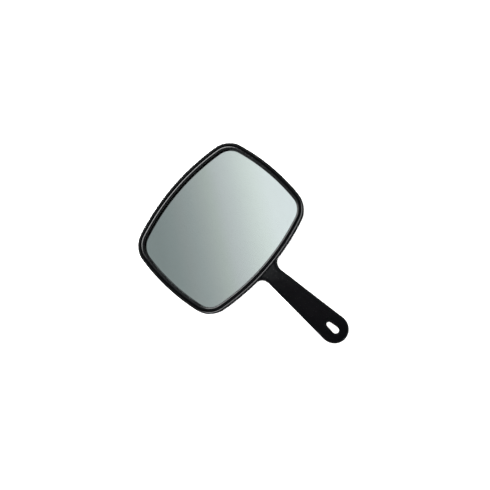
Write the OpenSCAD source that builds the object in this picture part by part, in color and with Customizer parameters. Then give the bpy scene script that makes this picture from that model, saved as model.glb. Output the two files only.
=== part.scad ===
// Salon hand mirror, lying on its back with the glass up.
// +Z is up out of the glass, the handle points along -Y, and the origin is on the back face,
// under the middle of the whole object.

/* [Head] */
// Width of the head, across the handle
head_w = 160; // [140:1:200]
// Length of the head, in line with the handle
head_h = 130; // [115:1:160]
// Thickness of the head, from the back face to the crest of the outer bead
head_t = 10; // [9.8:0.2:14]
// Radius of the bowed left and right sides
side_r = 213; // [180:1:400]
// Radius of the bowed far end and handle end
end_r = 234; // [180:1:400]
// Radius of the four corners
corner_r = 24.7; // [22:0.1:34]

/* [Rim and bezel] */
// Width of the whole black border round the visible glass
border_w = 6.6; // [6.2:0.1:8]
// Height of the bezel's crest below the crest of the outer bead
bezel_step = 0.7; // [0.2:0.1:1.5]
// Fitting gap between the bezel and the back shell
bezel_gap = 0.15; // [0.05:0.05:0.3]
// Radius of the outer bead's outer edge
bead_outer_r = 1; // [1:0.1:2]
// Radius of the bezel's edge along the parting groove
groove_edge_r = 1.8; // [0.3:0.05:1.85]
// Radius of the bezel's edge along the glass
bezel_slope_r = 1.6; // [0.8:0.1:1.7]
// Thickness of the bezel's skirt, outside the glass edge
skirt_t = 1.45; // [1:0.05:2]

/* [Handle] */
// Length of the handle, from the head's edge to its round end
handle_len = 99; // [80:1:140]
// Width that the handle's sides would have at the head's edge, without the fillets
root_w = 17; // [14:0.5:24]
// Radius of the handle's round end
tip_r = 13.9; // [11:0.1:16]
// Radius of the fillets between the handle and the head
fillet_r = 9; // [5:0.5:14]
// Thickness of the handle
handle_t = 7.8; // [7:0.2:8.2]
// Height of the joint between the two halves of the handle
parting_z = 3.9; // [3.5:0.1:4.3]
// Gap between the handle cover and the head's side
cover_gap = 0.1; // [0.05:0.05:0.3]

/* [Hanging hole] */
// Radius of the hole's wide end, nearer the handle's end
hole_big_r = 3.3; // [2.8:0.1:4]
// Radius of the hole's narrow end
hole_small_r = 2.5; // [2:0.1:2.8]
// Distance between the centres of the two ends
hole_pitch = 8.2; // [6:0.2:12]
// Distance from the handle's end to the centre of the wide end
hole_from_tip = 12; // [10:0.2:16]
// Thickness of the collar round the hole, inside the handle
collar_t = 1.8; // [1.2:0.1:2.4]

/* [Walls and ribs] */
// Thickness of the walls and floors, and radius of the back edge
wall_t = 2.5; // [2:0.1:2.8]
// Thickness of the ribs
rib_t = 1.2; // [0.8:0.1:2]
// Height of the ribs on the tray's floor
rib_h = 0.8; // [0.4:0.1:0.9]
// Half of the spacing of the lengthwise ribs on the tray's floor
rib_x = 20; // [10:1:30]
// Half of the spacing of the crosswise ribs on the tray's floor
rib_y = 16; // [10:1:24]
// Number of cross ribs inside the handle
handle_ribs = 4; // [2:1:6]

/* [Glass pack] */
// Thickness of the glass
glass_t = 2; // [1.8:0.1:2.2]
// Thickness of the silver coat
silver_t = 0.1; // [0.05:0.05:0.15]
// Thickness of the backing paint
paint_t = 0.15; // [0.1:0.05:0.2]
// Thickness of the safety film
film_t = 0.25; // [0.15:0.05:0.3]
// Thickness of the foam pads
foam_t = 1; // [1:0.1:1.2]
// Size of one foam pad across the handle
pad_w = 24; // [12:1:30]
// Size of one foam pad in line with the handle
pad_h = 18; // [12:1:24]
// Gap all round the glass
glass_gap = 0.2; // [0.1:0.05:0.4]

/* [Hidden] */
$fn = 48;

black = "#0b0b0c";
glass_colour = "#a8b2af";
silver_colour = "#d8dcdc";
paint_colour = "#6b7072";
film_colour = "#e6e8e4";
foam_colour = "#f2efe6";

// The head's outline is drawn about the middle of the head, and the object's middle lies nearer the handle
half_w = head_w / 2;
half_h = head_h / 2;
head_shift = handle_len / 2;

// Centres of the bowed right side and of the bowed far end
side_c = [half_w - side_r, 0];
end_c = [0, half_h - end_r];
// Centre of the corner circle, which touches both bows from inside
side_reach = side_r - corner_r;
end_reach = end_r - corner_r;
bow_line = end_c - side_c;
bow_d = norm(bow_line);
bow_u = bow_line / bow_d;
along_u = (side_reach * side_reach - end_reach * end_reach + bow_d * bow_d) / (2 * bow_d);
off_u = sqrt(side_reach * side_reach - along_u * along_u);
corner_c = side_c + along_u * bow_u + off_u * [-bow_u[1], bow_u[0]];
// Half angles of the two bows
side_a = atan2(corner_c[1] - side_c[1], corner_c[0] - side_c[0]);
end_a = atan2(corner_c[0] - end_c[0], corner_c[1] - end_c[1]);

// The handle's right side is the tangent from the root point to the round end
near_c = [0, end_r - half_h];
tip_c = [0, tip_r - half_h - handle_len];
root_p = [root_w / 2, -half_h];
root_d = norm(root_p - tip_c);
flare_a = atan2(root_p[1] - tip_c[1], root_p[0] - tip_c[0]) - acos(tip_r / root_d);
side_n = [cos(flare_a), sin(flare_a)];
side_m = [-sin(flare_a), cos(flare_a)];
// The fillet circle touches that side, and bites a little into the head's handle end so that the two join
fillet_bite = 0.15;
fillet_base = tip_c + (tip_r + fillet_r) * side_n - near_c;
fillet_u = side_m * fillet_base;
fillet_reach = end_r - fillet_bite + fillet_r;
fillet_s = -fillet_u - sqrt(fillet_u * fillet_u - fillet_base * fillet_base + fillet_reach * fillet_reach);
fillet_c = tip_c + (tip_r + fillet_r) * side_n + fillet_s * side_m;
fillet_from = atan2(near_c[1] - fillet_c[1], near_c[0] - fillet_c[0]);
// Angle at which the fillet leaves the handle end's bow, from the handle's axis
fillet_off = fillet_from - 90;

// Number of straight steps that stand for each arc
bow_steps = 8;
corner_steps = 9;
tip_steps = 12;
fillet_steps = 8;
round_steps = 5;

// Heights of the glass pack, from the tray's floor up
foam_z = wall_t;
film_z = foam_z + foam_t;
paint_z = film_z + film_t;
silver_z = paint_z + paint_t;
glass_z = silver_z + silver_t;
lip_z = glass_z + glass_t + 0.1;

// Insets from the head's outline
bezel_in = wall_t + bezel_gap;
skirt_in = bezel_in + skirt_t;
glass_in = skirt_in + glass_gap;
ledge_in = skirt_in - glass_gap;
slope_in = border_w - bezel_slope_r;
bezel_z = head_t - bezel_step;
bezel_foot_z = 4.6;
cavity_z = handle_t - wall_t;

// Centre of the hanging hole's wide end
hole_c = [0, -half_h - handle_len + hole_from_tip];

// The tongue on the back half of the handle, and the groove in the cover that it fits
tongue_in = 0.9;
tongue_w = 0.8;
tongue_h = 0.6;
tongue_gap = 0.05;

// How far the handle runs into the head's wall, and where the ribs on the tray's floor end
root_depth = 3;
rib_end_in = 14;

// Points of an arc, each with the direction that it moves in when the outline is inset
function arc(c, r, from, to, steps, out = 1) =
    [for (i = [0:steps])
        let (a = from + (to - from) * i / steps, d = [cos(a), sin(a)])
            [c + r * d, out * d]];
// All but the first point of a list, where two arcs share a point
function tail(list) = [for (i = [1:len(list) - 1]) list[i]];
function flip(p) = [[-p[0][0], p[0][1]], [-p[1][0], p[1][1]]];
// The right half of an outline and its mirror image, as one loop
function both(half) = concat(half, [for (i = [len(half) - 1:-1:0]) flip(half[i])]);
function inset_points(path, inset) = [for (p = path) p[0] - inset * p[1]];

// Outline of the head, from the handle's end round the right side to the far end
axis_a = end_a / (2 * bow_steps + 1);
tip_a = (90 + flare_a) / (2 * tip_steps + 1);
head_half = concat(
    arc(near_c, end_r, 270 + axis_a, 270 + end_a, bow_steps),
    tail(arc([corner_c[0], -corner_c[1]], corner_r, 270 + end_a, 360 - side_a, corner_steps)),
    tail(arc(side_c, side_r, -side_a, side_a, 2 * bow_steps)),
    tail(arc(corner_c, corner_r, side_a, 90 - end_a, corner_steps)),
    tail(arc(end_c, end_r, 90 - end_a, 90 - axis_a, bow_steps)));
head_path = both(head_half);

// Outline of the handle, from the round end up the right side, over the fillet and into the head's wall
handle_half = concat(
    arc(tip_c, tip_r, 270 + tip_a, 360 + flare_a, tip_steps),
    arc(fillet_c, fillet_r, 180 + flare_a, fillet_from, fillet_steps, -1),
    [for (p = arc(near_c, end_r - root_depth, 270 + fillet_off, 270 + axis_a, bow_steps / 2)) [p[0], [0, 0]]]);
handle_path = both(handle_half);

// A section is a list of [inset, height]; a rounded edge of it is a quarter circle
function round_edge(inset, z, r, from, to) =
    [for (i = [0:round_steps])
        let (a = from + (to - from) * i / round_steps)
            [inset - r * cos(a), z + r * sin(a)]];

// Moves a shape drawn about the middle of the head to the object's own frame
module placed() {
    translate([0, head_shift, 0])
        children();
}

// A ring with a closed section, swept round a path
module ring(path, section) {
    n = len(path);
    m = len(section);
    points = [for (p = path) for (q = section) let (xy = p[0] - q[0] * p[1]) [xy[0], xy[1], q[1]]];
    faces = [for (i = [0:n - 1]) for (k = [0:m - 1])
        let (j = (i + 1) % n, l = (k + 1) % m)
            [i * m + k, i * m + l, j * m + l, j * m + k]];
    polyhedron(points, faces);
}

// A solid between the first and the last inset of a section, with a flat face at each
module solid_of(path, section) {
    n = len(path);
    m = len(section);
    points = [for (p = path) for (q = section) let (xy = p[0] - q[0] * p[1]) [xy[0], xy[1], q[1]]];
    sides = [for (i = [0:n - 1]) for (k = [0:m - 2])
        let (j = (i + 1) % n)
            [i * m + k, i * m + k + 1, j * m + k + 1, j * m + k]];
    first = [for (i = [0:n / 2 - 2])
        [i * m, (i + 1) * m, (n - 2 - i) * m, (n - 1 - i) * m]];
    last = [for (i = [0:n / 2 - 2])
        [i * m + m - 1, (n - 1 - i) * m + m - 1, (n - 2 - i) * m + m - 1, (i + 1) * m + m - 1]];
    polyhedron(points, concat(sides, first, last));
}

// A plate with the head's outline, inset all round
module head_plate(inset, z, t) {
    translate([0, 0, z])
        linear_extrude(t)
            polygon(inset_points(head_path, inset));
}

// A prism with the hanging hole's outline, grown all round
module hole_prism(grow, z, t) {
    translate([hole_c[0], hole_c[1], z])
        linear_extrude(t)
            hull() {
                circle(hole_big_r + grow);
                translate([0, hole_pitch])
                    circle(hole_small_r + grow);
            }
}

// An upright rib with round ends, between two points of the plan and two heights
module rib(a, b, z_a, z_b) {
    hull()
        for (end = [a, b])
            translate([end[0], end[1], z_a])
                cylinder(h = z_b - z_a, d = rib_t, $fn = 12);
}

// Half of the handle's width at a distance from the tip's centre towards the head
function handle_half_w(up) = (tip_r - up * side_n[1]) / side_n[0];

// Stiffening ribs inside one half of the handle: one along it and a row across it
module handle_rib_set(z_a, z_b) {
    rib_from = hole_from_tip - tip_r + hole_pitch + hole_small_r + collar_t / 2;
    rib_to = handle_len - tip_r - rib_t;
    rib([0, tip_c[1] + rib_from], [0, tip_c[1] + rib_to], z_a, z_b);
    for (i = [1:handle_ribs]) {
        up = rib_from + (rib_to - rib_from) * i / (handle_ribs + 1);
        half = handle_half_w(up) - wall_t / 2;
        rib([-half, tip_c[1] + up], [half, tip_c[1] + up], z_a, z_b);
    }
}

// Low ribs on the tray's floor, which keep it flat and stop the foam pads from creeping
module floor_rib_set() {
    end_x = half_w - rib_end_in;
    end_y = half_h - rib_end_in;
    for (side = [-1, 1]) {
        rib([side * rib_x, -end_y], [side * rib_x, end_y], wall_t / 2, wall_t + rib_h);
        rib([-end_x, side * rib_y], [end_x, side * rib_y], wall_t / 2, wall_t + rib_h);
    }
}

// The tray of the head: rounded back edge, wall with a rounded bead, ledge for the bezel, floor
module tray() {
    bead_inner_r = wall_t - bead_outer_r;
    solid_of(head_path, concat(
        round_edge(wall_t, wall_t, wall_t, -90, 0),
        round_edge(bead_outer_r, head_t - bead_outer_r, bead_outer_r, 0, 90),
        tail(round_edge(bead_outer_r, head_t - bead_inner_r, bead_inner_r, 90, 180)),
        [[wall_t, bezel_foot_z], [ledge_in, bezel_foot_z], [ledge_in, wall_t]]));
}

// The back half of the handle, hollow from the front
module handle_back() {
    difference() {
        solid_of(handle_path, concat(
            round_edge(wall_t, wall_t, wall_t, -90, 0),
            [[0, parting_z]]));
        translate([0, 0, wall_t])
            linear_extrude(parting_z)
                polygon(inset_points(handle_path, wall_t));
    }
}

// A strip that runs round the handle's wall and stops at the head, between two insets and two heights
module wall_strip(inset_a, inset_b, z_a, z_b) {
    difference() {
        translate([0, 0, z_a])
            linear_extrude(z_b - z_a)
                polygon(inset_points(handle_path, inset_a));
        linear_extrude(head_t)
            polygon(inset_points(handle_path, inset_b));
        linear_extrude(head_t)
            polygon(inset_points(head_path, -cover_gap));
    }
}

// Rear moulding: the head's tray and the back half of the handle in one piece
module back_shell() {
    color(black)
        placed() {
            difference() {
                union() {
                    tray();
                    handle_back();
                    wall_strip(tongue_in, tongue_in + tongue_w, wall_t, parting_z + tongue_h);
                    handle_rib_set(wall_t / 2, parting_z);
                    hole_prism(collar_t, wall_t / 2, parting_z - wall_t / 2);
                }
                hole_prism(0, -1, parting_z + 2);
            }
            floor_rib_set();
        }
}

// Ring that is pressed and solvent-welded inside the bead, with its lip over the glass
module front_bezel() {
    color(black)
        placed()
            ring(head_path, concat(
                [[skirt_in, bezel_foot_z], [bezel_in, bezel_foot_z]],
                round_edge(bezel_in + groove_edge_r, bezel_z - groove_edge_r, groove_edge_r, 0, 90),
                round_edge(slope_in, bezel_z - bezel_slope_r, bezel_slope_r, 90, 180),
                [[border_w, lip_z], [skirt_in, lip_z]]));
}

// Front half of the handle, welded to the back half along the tongue
module handle_cover() {
    groove_in = tongue_in - tongue_gap;
    groove_out = tongue_in + tongue_w + tongue_gap;
    color(black)
        placed()
            difference() {
                union() {
                    difference() {
                        solid_of(handle_path, concat(
                            [[0, parting_z]],
                            round_edge(wall_t, cavity_z, wall_t, 0, 90)));
                        translate([0, 0, parting_z - 1])
                            linear_extrude(cavity_z - parting_z + 1)
                                polygon(inset_points(handle_path, wall_t));
                        wall_strip(groove_in, groove_out, parting_z - 1, parting_z + tongue_h + tongue_gap);
                    }
                    handle_rib_set(parting_z, cavity_z + wall_t / 2);
                    hole_prism(collar_t, parting_z, cavity_z + wall_t / 2 - parting_z);
                }
                hole_prism(0, parting_z - 1, handle_t);
                linear_extrude(head_t)
                    polygon(inset_points(head_path, -cover_gap));
            }
}

// Float glass, cut to the tray's inside
module mirror_glass() {
    color(glass_colour)
        placed()
            head_plate(glass_in, glass_z, glass_t);
}

// Silver on the back of the glass
module silver_coat() {
    color(silver_colour)
        placed()
            head_plate(glass_in, silver_z, silver_t);
}

// Paint that covers the silver
module backing_paint() {
    color(paint_colour)
        placed()
            head_plate(glass_in, paint_z, paint_t);
}

// Adhesive film over the paint, which holds broken glass together
module safety_film() {
    color(film_colour)
        placed()
            head_plate(glass_in, film_z, film_t);
}

// Double-sided foam pads between the film and the tray's floor: one in each quarter and one in the middle
module foam_pads() {
    pad_x = (rib_x + half_w - rib_end_in) / 2;
    pad_y = (rib_y + half_h - rib_end_in) / 2;
    centres = [[0, 0], [pad_x, pad_y], [-pad_x, pad_y], [pad_x, -pad_y], [-pad_x, -pad_y]];
    color(foam_colour)
        placed()
            for (c = centres)
                translate([c[0] - pad_w / 2, c[1] - pad_h / 2, foam_z])
                    cube([pad_w, pad_h, foam_t]);
}

back_shell();
front_bezel();
handle_cover();
mirror_glass();
silver_coat();
backing_paint();
safety_film();
foam_pads();
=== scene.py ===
import math

import bmesh
import bpy
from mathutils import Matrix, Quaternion, Vector
from mathutils.geometry import intersect_line_sphere_2d, intersect_sphere_sphere_2d


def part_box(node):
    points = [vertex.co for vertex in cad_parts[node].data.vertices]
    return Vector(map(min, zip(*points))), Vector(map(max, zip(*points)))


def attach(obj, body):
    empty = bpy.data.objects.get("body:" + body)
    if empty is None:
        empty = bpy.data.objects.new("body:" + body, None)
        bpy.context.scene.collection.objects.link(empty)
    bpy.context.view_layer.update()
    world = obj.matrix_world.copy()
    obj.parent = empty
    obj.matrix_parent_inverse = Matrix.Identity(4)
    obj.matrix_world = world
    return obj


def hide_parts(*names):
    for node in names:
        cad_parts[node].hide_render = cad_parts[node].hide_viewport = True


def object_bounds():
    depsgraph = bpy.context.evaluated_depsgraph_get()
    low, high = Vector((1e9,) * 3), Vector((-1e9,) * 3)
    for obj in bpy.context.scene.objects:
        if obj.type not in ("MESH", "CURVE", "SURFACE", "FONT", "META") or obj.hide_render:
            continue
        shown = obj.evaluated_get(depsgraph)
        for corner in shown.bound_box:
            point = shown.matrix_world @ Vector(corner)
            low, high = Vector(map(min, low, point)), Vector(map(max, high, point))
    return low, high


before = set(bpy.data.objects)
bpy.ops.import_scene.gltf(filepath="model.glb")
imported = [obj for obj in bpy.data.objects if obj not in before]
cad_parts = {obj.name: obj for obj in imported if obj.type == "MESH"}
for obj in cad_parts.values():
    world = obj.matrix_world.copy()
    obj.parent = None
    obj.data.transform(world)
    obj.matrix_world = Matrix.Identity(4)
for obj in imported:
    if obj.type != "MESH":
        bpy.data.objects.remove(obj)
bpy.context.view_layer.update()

# ---------------------------------------------------------------------------------------------
# Rear moulding: the tray that holds the glass, and the back half of the handle.
# Black styrene, injection moulded in one piece, with a rounded back edge, a rounded bead along the
# top of its wall, and a ledge inside the wall for the bezel.
# ---------------------------------------------------------------------------------------------
# Lengths are in millimetres until they become vertices
MM = 0.001
BODY = "root"

# Cages: steps of a rounded edge and of the seam's edge, subdivision levels, distances of the rows
# that keep an edge crisp, merge distances of a cage and at its mirror plane, and the angle in
# degrees from which a cut edge is shaded sharp
ROUND_STEPS = 3
SEAM_STEPS = 2
SMOOTHING = 2
HOLD = 0.35
BLOCK_HOLD = 0.3
WELD = 0.0005
MIRROR_WELD = 0.002
CREASE_ANGLE = 35

# Head: radii of its bowed sides, bowed ends and corners, thickness of its wall, radius of the bead's
# outer edge, insets of the ledge and of the bezel from the outline, and steps of each arc
SIDE_BOW = 213.0
END_BOW = 234.0
CORNER_R = 24.7
WALL = 2.5
BEAD_R = 1.0
LEDGE = 3.9
BEZEL_IN = 2.65
BOW_STEPS = 5
SIDE_STEPS = 6
CORNER_STEPS = 6

# Handle: width at its root, radii of its round end and of its fillets, how far a fillet bites into
# the head, and steps of a fillet, of the round end and of the grip
ROOT_W = 17.0
TIP_R = 13.9
FILLET_R = 9.0
FILLET_BITE = 0.15
FILLET_STEPS = 5
TIP_STEPS = 6
GRIP_STEPS = 6

# Hanging hole: radii of its wide and narrow ends, their distance, the wide end's distance from the
# tip, steps of the narrow end, width of the ring of faces round it, and its rounded mouth
HOLE_BIG = 3.3
HOLE_SMALL = 2.5
HOLE_PITCH = 8.2
HOLE_FROM_TIP = 12.0
HOLE_SMALL_STEPS = 3
HOLE_REST = 1.1
MOUTH_R = 0.5
MOUTH_MID = MOUTH_R * 0.3

# Joins: radius of the edges at the seam, how far inside the head's outline the handle's back half
# starts, and the foot and top of the block that trims a half
SEAM_R = 0.25
TRIM_IN = WALL / 2
BLOCK_FOOT = -5.0
BLOCK_TOP = 20.0

shell_low, shell_high = (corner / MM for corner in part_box("back_shell"))
rim_low, rim_high = (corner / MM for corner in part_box("front_bezel"))
cover_low, cover_high = (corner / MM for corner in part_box("handle_cover"))
head_middle = (rim_low.y + rim_high.y) / 2
half_w = shell_high.x
half_h = (rim_high.y - rim_low.y) / 2 + BEZEL_IN
bezel_foot = rim_low.z
parting = cover_low.z


def turned(degrees):
    """Unit vector at an angle from the crosswise direction."""
    return Vector((math.cos(math.radians(degrees)), math.sin(math.radians(degrees))))


def standing(radius, step):
    """Radius of the cage's corners: a subdivided cage settles inside them, onto the radius asked for."""
    return radius * 6 / (4 + 2 * math.cos(math.radians(step)))


def arc(centre, radius, start, stop, steps, hollow=False):
    """Stations along an arc of an outline: each is a point, and the direction out of the moulding."""
    step = (stop - start) / steps
    rays = [turned(start + k * step) for k in range(steps + 1)]
    reach = standing(radius, step)
    return [(centre + reach * ray, -ray if hollow else ray) for ray in rays]


def rounded(inset, height, radius, start, stop, steps=ROUND_STEPS):
    """Quarter of a section's rounded edge, as insets and heights; its ends lie on the faces."""
    step = (stop - start) / steps
    points = []
    for k in range(steps + 1):
        ray = turned(start + k * step)
        reach = standing(radius, step) if 0 < k < steps else radius
        points.append((inset - reach * ray.x, height + reach * ray.y))
    return points


side_centre = Vector((half_w - SIDE_BOW, 0))
far_centre = Vector((0, half_h - END_BOW))
near_centre = -far_centre
corner_centre = max(
    intersect_sphere_sphere_2d(side_centre, SIDE_BOW - CORNER_R, far_centre, END_BOW - CORNER_R),
    key=lambda point: point.x)
low_corner = Vector((corner_centre.x, -corner_centre.y))
side_a = math.degrees(math.atan2(corner_centre.y, corner_centre.x - side_centre.x))
end_a = math.degrees(math.atan2(corner_centre.x, corner_centre.y - far_centre.y))
head_outline = (
    arc(near_centre, END_BOW, 270, 270 + end_a, BOW_STEPS)
    + arc(low_corner, CORNER_R, 270 + end_a, 360 - side_a, CORNER_STEPS)[1:]
    + arc(side_centre, SIDE_BOW, -side_a, side_a, SIDE_STEPS)[1:]
    + arc(corner_centre, CORNER_R, side_a, 90 - end_a, CORNER_STEPS)[1:]
    + arc(far_centre, END_BOW, 90 - end_a, 90, BOW_STEPS)[1:])


def vertices(mesh, row):
    """Mesh vertices for points given in millimetres about the middle of the head."""
    return [mesh.verts.new(Vector((x, y + head_middle, z)) * MM) for x, y, z in row]


def skin(mesh, rows, closed=False):
    """Quads between neighbouring rows; a closed row also joins its last vertex to its first."""
    for here, there in zip(rows, rows[1:]):
        count = len(here)
        for k in range(count if closed else count - 1):
            m = (k + 1) % count
            mesh.faces.new((here[k], there[k], there[m], here[m]))


def half_piece(name, mesh):
    """An object from the right half of a cage: mirrored, then smoothed."""
    bmesh.ops.remove_doubles(mesh, verts=mesh.verts, dist=WELD * MM)
    for face in mesh.faces:
        face.smooth = True
    data = bpy.data.meshes.new(name)
    mesh.to_mesh(data)
    mesh.free()
    piece = bpy.data.objects.new(name, data)
    bpy.context.scene.collection.objects.link(piece)
    mirror = piece.modifiers.new("other_half", "MIRROR")
    mirror.merge_threshold = MIRROR_WELD * MM
    smooth = piece.modifiers.new("smooth", "SUBSURF")
    smooth.levels = smooth.render_levels = SMOOTHING
    return piece


def head_solid(name, section):
    """A solid with the head's outline: its section runs from the lower face out and up to the upper."""
    mesh = bmesh.new()
    rows = []
    for point, out in head_outline:
        edge = [(*(point - inset * out), height) for inset, height in section]
        middle = [(0, edge[k][1], edge[k][2]) for k in (0, -1)]
        rows.append(vertices(mesh, [middle[0], *edge, middle[1]]))
    skin(mesh, rows)
    return half_piece(name, mesh)


def head_block(name, inset):
    """An upright block with the head's outline, taller than the mirror, to cut other shapes with."""
    return head_solid(name, [
        (inset + BLOCK_HOLD, BLOCK_FOOT), (inset, BLOCK_FOOT), (inset, BLOCK_FOOT + BLOCK_HOLD),
        (inset, BLOCK_TOP - BLOCK_HOLD), (inset, BLOCK_TOP), (inset + BLOCK_HOLD, BLOCK_TOP)])


tip_centre = Vector((0, shell_low.y - head_middle + TIP_R))
to_root = Vector((ROOT_W / 2, -half_h)) - tip_centre
flare = math.degrees(math.atan2(to_root.y, to_root.x) - math.acos(TIP_R / to_root.length))
side_out = turned(flare)
side_up = turned(flare + 90)
fillet_line = tip_centre + (TIP_R + FILLET_R) * side_out
fillet_centre = min(
    intersect_line_sphere_2d(fillet_line, fillet_line + side_up, near_centre,
                             END_BOW - FILLET_BITE + FILLET_R, False),
    key=lambda point: point.y)
to_near = near_centre - fillet_centre
fillet_stop = math.degrees(math.atan2(to_near.y, to_near.x))
hole_centre = Vector((0, shell_low.y - head_middle + HOLE_FROM_TIP))
lean = math.degrees(math.asin((HOLE_BIG - HOLE_SMALL) / HOLE_PITCH))


def hole_outline(grow):
    """Right half of the teardrop hole, grown all round, from its wide end to its narrow end."""
    wide = arc(hole_centre, HOLE_BIG + grow, 270, 360 + lean, TIP_STEPS)
    narrow = arc(hole_centre + Vector((0, HOLE_PITCH)), HOLE_SMALL + grow, lean, 90, HOLE_SMALL_STEPS)
    return [point for point, out in wide + narrow]


# The handle's side: round its end, up past the hole, along the grip, over the fillet, into the head
side_start = tip_centre + TIP_R * side_out
side_stop = fillet_centre - FILLET_R * side_out
past_hole = [side_start + side_up * HOLE_PITCH / 2 * (k + 1) for k in range(HOLE_SMALL_STEPS + 1)]
grip = [past_hole[-1].lerp(side_stop, (k + 1) / GRIP_STEPS) for k in range(GRIP_STEPS - 1)]
fillet = arc(fillet_centre, FILLET_R, 180 + flare, fillet_stop, FILLET_STEPS, hollow=True)
inside_head = Vector((fillet[-1][0].x, -half_h + 3 * WALL))
handle_outline = (
    arc(tip_centre, TIP_R, 270, 360 + flare, TIP_STEPS)
    + [(point, side_out) for point in past_hole + grip]
    + fillet
    + [(inside_head, turned(0))])


def handle_half(name, section, hole_section):
    """One half of the handle: its section runs from the lower face out and up to the upper face, and
    the hole's section runs down from the upper face to the lower one."""
    mesh = bmesh.new()
    ring = hole_outline(HOLE_REST)
    walls = [hole_outline(grow) for grow, height in hole_section]
    rows, hole_rows = [], []
    for k, (point, out) in enumerate(handle_outline):
        edge = [(*(point - inset * out), height) for inset, height in section]
        if k < len(ring):
            inner = [(*ring[k], edge[0][2]), (*ring[k], edge[-1][2])]
        else:
            inner = [(0, edge[0][1], edge[0][2]), (0, edge[-1][1], edge[-1][2])]
        rows.append(vertices(mesh, [inner[0], *edge, inner[1]]))
        if k < len(ring):
            down = [(*wall[k], height) for wall, (grow, height) in zip(walls, hole_section)]
            hole_rows.append([rows[-1][-1], *vertices(mesh, down), rows[-1][0]])
    skin(mesh, rows)
    skin(mesh, hole_rows)
    mesh.faces.new(reversed(rows[-1]))
    return half_piece(name, mesh)


def combine(piece, tool, operation):
    """Applies the stack of a piece, with a tool cut from it or joined to it; the tool is used up."""
    cut = piece.modifiers.new("combine", "BOOLEAN")
    cut.operation = operation
    cut.object = tool
    seen = piece.evaluated_get(bpy.context.evaluated_depsgraph_get())
    made = bpy.data.meshes.new_from_object(seen)
    piece.modifiers.clear()
    piece.data = made
    made.set_sharp_from_angle(angle=math.radians(CREASE_ANGLE))
    bpy.data.objects.remove(tool)


crest = shell_high.z
bead_inner = WALL - BEAD_R
rear_moulding = head_solid("rear_moulding", [
    (WALL + 2 * HOLD, 0), *rounded(WALL, WALL, WALL, -90, 0),
    *rounded(BEAD_R, crest - BEAD_R, BEAD_R, 0, 90),
    *rounded(BEAD_R, crest - bead_inner, bead_inner, 90, 180)[1:],
    (WALL, bezel_foot + HOLD), (WALL, bezel_foot), (WALL + HOLD, bezel_foot),
    (LEDGE - HOLD, bezel_foot), (LEDGE, bezel_foot), (LEDGE, bezel_foot - HOLD),
    (LEDGE, WALL + HOLD), (LEDGE, WALL), (LEDGE + HOLD, WALL)])
grip_back = handle_half(
    "grip_back",
    [(WALL + 3 * HOLD, 0), *rounded(WALL, WALL, WALL, -90, 0),
     *rounded(SEAM_R, parting - SEAM_R, SEAM_R, 0, 90, SEAM_STEPS), (SEAM_R + 2 * HOLD, parting)],
    [(HOLD, parting), (0, parting - HOLD),
     (0, MOUTH_R), (MOUTH_MID, MOUTH_MID), (MOUTH_R, 0)])
combine(grip_back, head_block("trim", TRIM_IN), "DIFFERENCE")
combine(rear_moulding, grip_back, "UNION")


def linear(colour):
    """Linear colour for an sRGB hex value."""
    parts = [int(colour[k:k + 2], 16) / 255 for k in (1, 3, 5)]
    return [p / 12.92 if p <= 0.04045 else ((p + 0.055) / 1.055) ** 2.4 for p in parts] + [1.0]


def blank(name):
    """A material with an empty node tree."""
    made = bpy.data.materials.new(name)
    made.use_nodes = True
    made.node_tree.nodes.clear()
    return made


def add(material, kind, sockets=None, **settings):
    """Adds a shader node with its settings; a socket takes a value or another node's output."""
    made = material.node_tree.nodes.new("ShaderNode" + kind)
    for name, value in settings.items():
        setattr(made, name, value)
    for name, value in (sockets or {}).items():
        if isinstance(value, bpy.types.NodeSocket):
            material.node_tree.links.new(value, made.inputs[name])
        else:
            made.inputs[name].default_value = value
    return made


# Places of a mix node's two colour sockets and of its colour output
MIX_A, MIX_B, MIXED = 6, 7, 2

# Gloss black styrene, moulded against a polished steel tool: deep black with a hard, slightly
# wavy gloss, faint flow clouding in the pigment, and a gloss that is rubbed unevenly by handling.
gloss_black = blank("gloss_black_styrene")
place = add(gloss_black, "TexCoord").outputs["Object"]
clouding = add(gloss_black, "TexNoise", {"Vector": place, "Scale": 1 / (22 * MM), "Detail": 3})
pigment = add(gloss_black, "Mix", {
    "Factor": clouding.outputs["Fac"],
    MIX_A: linear("#020203"), MIX_B: linear("#070708")}, data_type="RGBA")
rubbing = add(gloss_black, "TexNoise", {
    "Vector": place, "Scale": 1 / (2.2 * MM), "Detail": 6, "Roughness": 0.65})
gloss = add(gloss_black, "MapRange", {
    "Value": rubbing.outputs["Fac"], "From Min": 0.4, "From Max": 0.75,
    "To Min": 0.13, "To Max": 0.26})
sink = add(gloss_black, "TexNoise", {"Vector": place, "Scale": 1 / (9 * MM), "Detail": 1})
wave = add(gloss_black, "Bump", {
    "Height": sink.outputs["Fac"], "Distance": 0.05 * MM, "Strength": 0.6})
peel = add(gloss_black, "TexNoise", {"Vector": place, "Scale": 1 / (0.7 * MM), "Detail": 2})
surface = add(gloss_black, "Bump", {
    "Height": peel.outputs["Fac"], "Distance": 0.003 * MM, "Strength": 0.5,
    "Normal": wave.outputs["Normal"]})
styrene = add(gloss_black, "BsdfPrincipled", {
    "Base Color": pigment.outputs[MIXED], "Roughness": gloss.outputs["Result"], "IOR": 1.55,
    "Normal": surface.outputs["Normal"]})
add(gloss_black, "OutputMaterial", {"Surface": styrene.outputs["BSDF"]})

rear_moulding.data.materials.clear()
rear_moulding.data.materials.append(gloss_black)
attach(rear_moulding, BODY)
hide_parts("back_shell")

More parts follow.
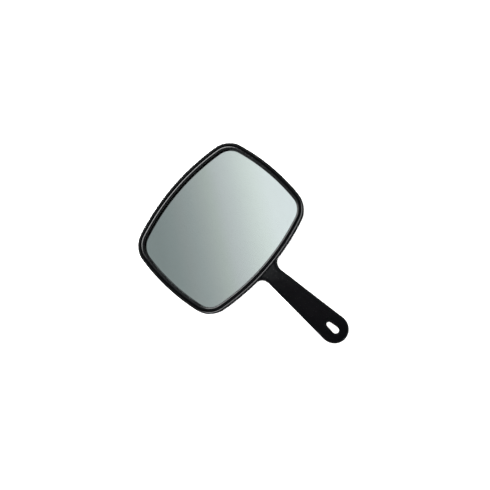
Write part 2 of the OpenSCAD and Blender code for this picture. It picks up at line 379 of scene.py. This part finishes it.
# ---------------------------------------------------------------------------------------------
# Front bezel: the ring that lies inside the tray's bead and holds the glass down.
# The same black styrene, moulded separately, pressed in and solvent-welded to the ledge; a fine
# groove is left between it and the bead.
# ---------------------------------------------------------------------------------------------
# Width of the black border, thickness of the skirt, radii of the edges along the groove and along
# the glass, distance of the rows that keep an edge crisp, and gap left over the glass
BORDER = 6.6
SKIRT = 1.45
GROOVE_EDGE_R = 1.8
SLOPE_R = 1.6
EDGE = 0.2
LIP_GAP = 0.1

rim_crest = rim_high.z
glass_low, glass_high = (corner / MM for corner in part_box("mirror_glass"))
lip = glass_high.z + LIP_GAP
skirt_in = BEZEL_IN + SKIRT
bezel_section = [
    (skirt_in, bezel_foot + EDGE), (skirt_in, bezel_foot), (skirt_in - EDGE, bezel_foot),
    (BEZEL_IN + EDGE, bezel_foot), (BEZEL_IN, bezel_foot), (BEZEL_IN, bezel_foot + EDGE),
    *rounded(BEZEL_IN + GROOVE_EDGE_R, rim_crest - GROOVE_EDGE_R, GROOVE_EDGE_R, 0, 90),
    *rounded(BORDER - SLOPE_R, rim_crest - SLOPE_R, SLOPE_R, 90, 180),
    (BORDER, lip + EDGE), (BORDER, lip), (BORDER - EDGE, lip),
    (skirt_in + EDGE, lip), (skirt_in, lip), (skirt_in, lip - EDGE)]
cage = bmesh.new()
skin(cage, [vertices(cage, [(*(point - inset * out), height) for inset, height in bezel_section])
            for point, out in head_outline], closed=True)
rim_bezel = half_piece("rim_bezel", cage)
rim_bezel.data.materials.append(gloss_black)
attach(rim_bezel, BODY)
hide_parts("front_bezel")

# ---------------------------------------------------------------------------------------------
# Handle front: the flat front half of the handle, with the teardrop hanging hole.
# The same black styrene, welded to the back half along a seam that shows as a fine line round the
# handle's side; it stops just short of the head's wall, below the bead.
# ---------------------------------------------------------------------------------------------
# Gap left between this half and the head's wall
COVER_GAP = 0.1
grip_top = cover_high.z
handle_front = handle_half(
    "handle_front",
    [(SEAM_R + 2 * HOLD, parting), *rounded(SEAM_R, parting + SEAM_R, SEAM_R, -90, 0, SEAM_STEPS),
     *rounded(WALL, grip_top - WALL, WALL, 0, 90), (WALL + 3 * HOLD, grip_top)],
    [(MOUTH_R, grip_top), (MOUTH_MID, grip_top - MOUTH_MID), (0, grip_top - MOUTH_R),
     (0, parting + HOLD), (HOLD, parting)])
combine(handle_front, head_block("trim", -COVER_GAP), "DIFFERENCE")
handle_front.data.materials.clear()
handle_front.data.materials.append(gloss_black)
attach(handle_front, BODY)
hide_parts("handle_cover")

# ---------------------------------------------------------------------------------------------
# Mirror glass: 2 mm float glass, cut to the tray's inside, with its edges ground to an arris.
# The foam pads behind it bond it to the tray, and the bezel's lip reaches over its edge.
# ---------------------------------------------------------------------------------------------
# Inset from the head's outline, width of the ground edge, and gap left over the silver
GLASS_IN = 4.3
ARRIS = 0.25
COAT_GAP = 0.02
glass_floor = glass_low.z + COAT_GAP
mirror_plate = head_solid("mirror_plate", [
    (GLASS_IN + 3 * ARRIS, glass_floor), (GLASS_IN + ARRIS, glass_floor),
    (GLASS_IN, glass_floor + ARRIS), (GLASS_IN, glass_high.z - ARRIS),
    (GLASS_IN + ARRIS, glass_high.z), (GLASS_IN + 3 * ARRIS, glass_high.z)])

# Float glass: clear with the slight green of its iron, and flat to the eye; a hand leaves it with
# faint smears that only soften the gloss here and there.
float_glass = blank("float_glass")
place = add(float_glass, "TexCoord").outputs["Object"]
smears = add(float_glass, "TexNoise", {"Vector": place, "Scale": 1 / (28 * MM), "Detail": 4})
haze = add(float_glass, "MapRange", {
    "Value": smears.outputs["Fac"], "From Min": 0.5, "From Max": 0.8, "To Min": 0.0, "To Max": 0.03})
glass = add(float_glass, "BsdfPrincipled", {
    "Base Color": linear("#fbfdfc"), "Roughness": haze.outputs["Result"], "IOR": 1.52,
    "Transmission Weight": 1.0})
add(float_glass, "OutputMaterial", {"Surface": glass.outputs["BSDF"]})
mirror_plate.data.materials.append(float_glass)
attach(mirror_plate, BODY)
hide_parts("mirror_glass")

# ---------------------------------------------------------------------------------------------
# Behind the glass: the silver, the paint over it, the safety film, and the foam pads.
# They stay as the plates and blocks of the frame, each with its own finish.
# ---------------------------------------------------------------------------------------------
# Silver laid down from solution on the back of the glass: a bright, almost neutral mirror with a
# very slight mottle.
silver = blank("deposited_silver")
place = add(silver, "TexCoord").outputs["Object"]
mottle = add(silver, "TexNoise", {"Vector": place, "Scale": 1 / (35 * MM), "Detail": 2})
tone = add(silver, "Mix", {
    "Factor": mottle.outputs["Fac"], MIX_A: linear("#f4f6f5"), MIX_B: linear("#f8faf9")}, data_type="RGBA")
coat = add(silver, "BsdfPrincipled", {
    "Base Color": tone.outputs[MIXED], "Metallic": 1.0, "Roughness": 0.01})
add(silver, "OutputMaterial", {"Surface": coat.outputs["BSDF"]})

# Mirror backing paint, curtain coated and baked: matt grey with a fine orange peel.
backing = blank("mirror_backing_paint")
place = add(backing, "TexCoord").outputs["Object"]
peel = add(backing, "TexNoise", {"Vector": place, "Scale": 1 / (1.5 * MM), "Detail": 3})
tone = add(backing, "Mix", {
    "Factor": peel.outputs["Fac"], MIX_A: linear("#5f6567"), MIX_B: linear("#73797b")}, data_type="RGBA")
relief = add(backing, "Bump", {"Height": peel.outputs["Fac"], "Distance": 0.02 * MM, "Strength": 0.5})
paint = add(backing, "BsdfPrincipled", {
    "Base Color": tone.outputs[MIXED], "Roughness": 0.6, "Normal": relief.outputs["Normal"]})
add(backing, "OutputMaterial", {"Surface": paint.outputs["BSDF"]})

# Safety film: polythene tape woven at 1.2 mm, laminated to the paint; milky, with a soft sheen.
film = blank("woven_safety_film")
place = add(film, "TexCoord").outputs["Object"]
TAPE = 1.2 * MM
# A wave texture turns through this many radians in one unit of its scaled coordinate
WAVE_RATE = 20
tapes = [add(film, "TexWave", {"Vector": place, "Scale": 2 * math.pi / WAVE_RATE / TAPE},
             bands_direction=axis).outputs["Fac"] for axis in "XY"]
weave = add(film, "Math", {0: tapes[0], 1: tapes[1]}, operation="MULTIPLY").outputs["Value"]
tone = add(film, "Mix", {
    "Factor": weave, MIX_A: linear("#cfd3cc"), MIX_B: linear("#e6e8e4")}, data_type="RGBA")
relief = add(film, "Bump", {"Height": weave, "Distance": 0.05 * MM, "Strength": 0.6})
polythene = add(film, "BsdfPrincipled", {
    "Base Color": tone.outputs[MIXED], "Roughness": 0.45, "Normal": relief.outputs["Normal"]})
add(film, "OutputMaterial", {"Surface": polythene.outputs["BSDF"]})

# Double-sided foam tape: white closed-cell foam with cells of about 0.3 mm.
foam = blank("closed_cell_foam")
place = add(foam, "TexCoord").outputs["Object"]
cells = add(foam, "TexVoronoi", {"Vector": place, "Scale": 1 / (0.3 * MM)})
tone = add(foam, "Mix", {
    "Factor": cells.outputs["Distance"],
    MIX_A: linear("#e4e0d4"), MIX_B: linear("#f4f1e8")}, data_type="RGBA")
relief = add(foam, "Bump", {"Height": cells.outputs["Distance"], "Distance": 0.1 * MM, "Strength": 0.6})
pads = add(foam, "BsdfPrincipled", {
    "Base Color": tone.outputs[MIXED], "Roughness": 0.9, "Normal": relief.outputs["Normal"]})
add(foam, "OutputMaterial", {"Surface": pads.outputs["BSDF"]})

for node, finish in (("silver_coat", silver), ("backing_paint", backing),
                     ("safety_film", film), ("foam_pads", foam)):
    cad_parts[node].material_slots[0].material = finish

# ---------------------------------------------------------------------------------------------
# Studio: a plain pale table, a graded card overhead that the glass reflects, two wide lights
# overhead that don't show in the gloss, and a softbox beyond the head's far end that does.
# ---------------------------------------------------------------------------------------------
# Half of the table's side in metres, its gap under the mirror, and the signs of a sheet's corners
TABLE_HALF = 2.0
TABLE_DROP = 0.3 * MM
QUARTERS = ((-1, -1), (1, -1), (1, 1), (-1, 1))
floor_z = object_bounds()[0].z - TABLE_DROP


def sheet(name, corners, material):
    """A flat stage piece through these corners."""
    data = bpy.data.meshes.new(name)
    data.from_pydata(corners, [], [range(len(corners))])
    data.materials.append(material)
    made = bpy.data.objects.new(name, data)
    bpy.context.scene.collection.objects.link(made)
    return made


# White paper, matt. The gloss doesn't reflect it, so that the side walls stay dark.
paper = blank("white_paper")
place = add(paper, "TexCoord").outputs["Object"]
fibre = add(paper, "TexNoise", {"Vector": place, "Scale": 1 / (4 * MM), "Detail": 4})
tone = add(paper, "Mix", {
    "Factor": fibre.outputs["Fac"], MIX_A: linear("#f3f3f2"), MIX_B: linear("#f8f8f7")}, data_type="RGBA")
stock = add(paper, "BsdfPrincipled", {
    "Base Color": tone.outputs[MIXED], "Roughness": 0.95, "Specular IOR Level": 0.1})
add(paper, "OutputMaterial", {"Surface": stock.outputs["BSDF"]})
table = sheet("table", [(sx * TABLE_HALF, sy * TABLE_HALF, floor_z) for sx, sy in QUARTERS], paper)
table.visible_glossy = False

# Camera: above the mirror and a little towards the handle, rolled so that the handle points down
# to the right. Focal length and sensor width in mm, near and far limit of view in metres, distance
# from its aim, roll in degrees, aim, and direction back from the aim.
LENS = 40
SENSOR = 36
CLIP_NEAR = 10 * MM
CLIP_FAR = 20
CAMERA_D = 542.7 * MM
CAMERA_ROLL = -61.15
AIM = Vector((3.94, 18.42, 5.11)) * MM
CAMERA_BACK = Vector((0.04042, -0.18529, 0.98185))
optics = bpy.data.cameras.new("camera")
optics.lens = LENS
optics.sensor_width = SENSOR
optics.clip_start = CLIP_NEAR
optics.clip_end = CLIP_FAR
camera = bpy.data.objects.new("camera", optics)
bpy.context.scene.collection.objects.link(camera)
camera.location = AIM + CAMERA_D * CAMERA_BACK
camera.rotation_mode = "QUATERNION"
roll = Quaternion((0, 0, 1), math.radians(CAMERA_ROLL))
camera.rotation_quaternion = CAMERA_BACK.to_track_quat("Z", "Y") @ roll
bpy.context.scene.camera = camera

# Graded card: it hangs over the mirror where the glass reflects it to the camera, and shows only in
# reflections. Its height over the glass is in metres, GRADE is the way that it gets paler, and its
# tints stand at distances along that way, in millimetres on the glass.
CARD_H = 0.9
CARD_GAIN = 1.15
GRADE = Vector((0.816, -0.578, 0))
TINTS = ((-65, "#7c8485"), (-49, "#828a8b"), (-38, "#8a9091"), (-26, "#919899"), (-14, "#9ba1a1"),
         (-2.5, "#a5acaa"), (9, "#b1b6b8"), (21, "#bac0c1"), (33, "#c5cccb"), (44, "#ced5d4"),
         (56, "#d5dbdd"), (72, "#d6dcdf"))
glass_top = Vector((0, head_middle, glass_high.z)) * MM
spread = 1 + CARD_H / (camera.location.z - glass_top.z)


def seen_from_glass(point):
    """The card's point that the camera sees by reflection in a point of the glass."""
    eye = Vector((camera.location.x, camera.location.y, 0))
    hit = eye + (Vector((point.x, point.y, 0)) - eye) * spread
    return Vector((hit.x, hit.y, glass_top.z + CARD_H))


card_mat = blank("graded_card")
place = add(card_mat, "TexCoord").outputs["Object"]
offset = add(card_mat, "VectorMath", {0: place, 1: seen_from_glass(glass_top)}, operation="SUBTRACT")
along = add(card_mat, "VectorMath", {0: offset.outputs["Vector"], 1: GRADE}, operation="DOT_PRODUCT")
share = add(card_mat, "MapRange", {
    "Value": along.outputs["Value"], "From Min": TINTS[0][0] * MM * spread,
    "From Max": TINTS[-1][0] * MM * spread})
ramp = add(card_mat, "ValToRGB", {"Fac": share.outputs["Result"]})
elements = ramp.color_ramp.elements
while len(elements) < len(TINTS):
    elements.new(1.0)
for element, (across, tint) in zip(elements, TINTS):
    element.position = (across - TINTS[0][0]) / (TINTS[-1][0] - TINTS[0][0])
    element.color = linear(tint)
glow = add(card_mat, "Emission", {"Color": ramp.outputs["Color"], "Strength": CARD_GAIN})
add(card_mat, "OutputMaterial", {"Surface": glow.outputs["Emission"]})
card = sheet("graded_card", [
    seen_from_glass(Vector((sx * half_w, sy * half_h + head_middle, 0)) * MM)
    for sx, sy in QUARTERS], card_mat)
card.visible_camera = False
card.visible_diffuse = False
card.visible_shadow = False


def softbox(name, spot, width, height, power, reflected=True):
    """A rectangular light facing the middle of the head; lengths in metres, power in watts."""
    light = bpy.data.lights.new(name, "AREA")
    light.shape = "RECTANGLE"
    light.size, light.size_y = width, height
    light.energy = power
    made = bpy.data.objects.new(name, light)
    bpy.context.scene.collection.objects.link(made)
    made.location = spot
    made.rotation_mode = "QUATERNION"
    made.rotation_quaternion = (made.location - glass_top).to_track_quat("Z", "Y")
    made.visible_glossy = reflected
    made.visible_transmission = False


softbox("overhead_light", (0, 0, 2.2), 0.8, 0.8, 60, reflected=False)
softbox("broad_fill", (0.1, 0, 3.0), 5.5, 5.5, 150, reflected=False)
softbox("far_side_light", (0, 0.56, 0.67), 0.8, 0.33, 8)

# Surroundings: a pale band at the level of the table, dim above it and dark overhead. Each tint
# stands at a share of the way from straight down to straight up.
SKY = ((0.0, "#262828"), (0.42, "#303232"), (0.44, "#eef0f0"), (0.54, "#e2e6e6"), (0.60, "#a8afae"),
       (0.66, "#7e8585"), (0.80, "#5a5f5f"), (0.90, "#242626"), (0.97, "#0c0d0d"))
world = bpy.data.worlds.new("studio")
bpy.context.scene.world = world
world.use_nodes = True
world.node_tree.nodes.clear()
direction = add(world, "TexCoord").outputs["Generated"]
upward = add(world, "SeparateXYZ", {"Vector": direction}).outputs["Z"]
rise = add(world, "MapRange", {"Value": upward, "From Min": -1.0})
sky = add(world, "ValToRGB", {"Fac": rise.outputs["Result"]})
bands = sky.color_ramp.elements
while len(bands) < len(SKY):
    bands.new(1.0)
for band, (height, tint) in zip(bands, SKY):
    band.position = height
    band.color = linear(tint)
glow = add(world, "Background", {"Color": sky.outputs["Color"]})
add(world, "OutputWorld", {"Surface": glow.outputs["Background"]})

# Colours come out as they are given
bpy.context.scene.view_settings.view_transform = "Standard"
